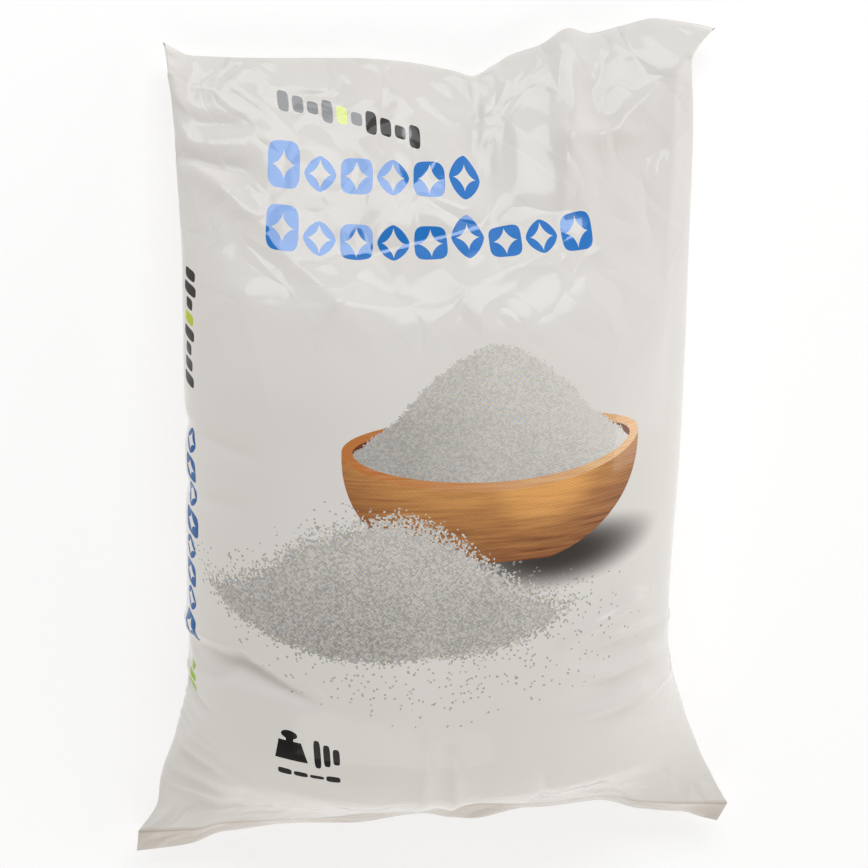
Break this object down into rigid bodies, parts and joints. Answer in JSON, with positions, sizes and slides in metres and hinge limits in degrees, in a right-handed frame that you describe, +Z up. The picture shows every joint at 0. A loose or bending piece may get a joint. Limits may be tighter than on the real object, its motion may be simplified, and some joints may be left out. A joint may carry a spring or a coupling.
{
  "type": "bag of sugar",
  "caption": "Shut pillow bag of white printed plastic film, filled tight with granulated sugar and lying on its back, with flat seals across both ends.",
  "frame": {"origin": "middle of the bag's outline seen from above, on the surface it lies on", "axes": "+Z up, out of the printed side; +Y along the bag to its top seal; +X to the right of the printed side"},
  "size_m": [0.1816, 0.2478, 0.0574],
  "materials": {
    "printed_film": "glossy white printed film"
  },
  "bodies": {
    "root": {"bag": "printed_film"}
  },
  "joints": []
}
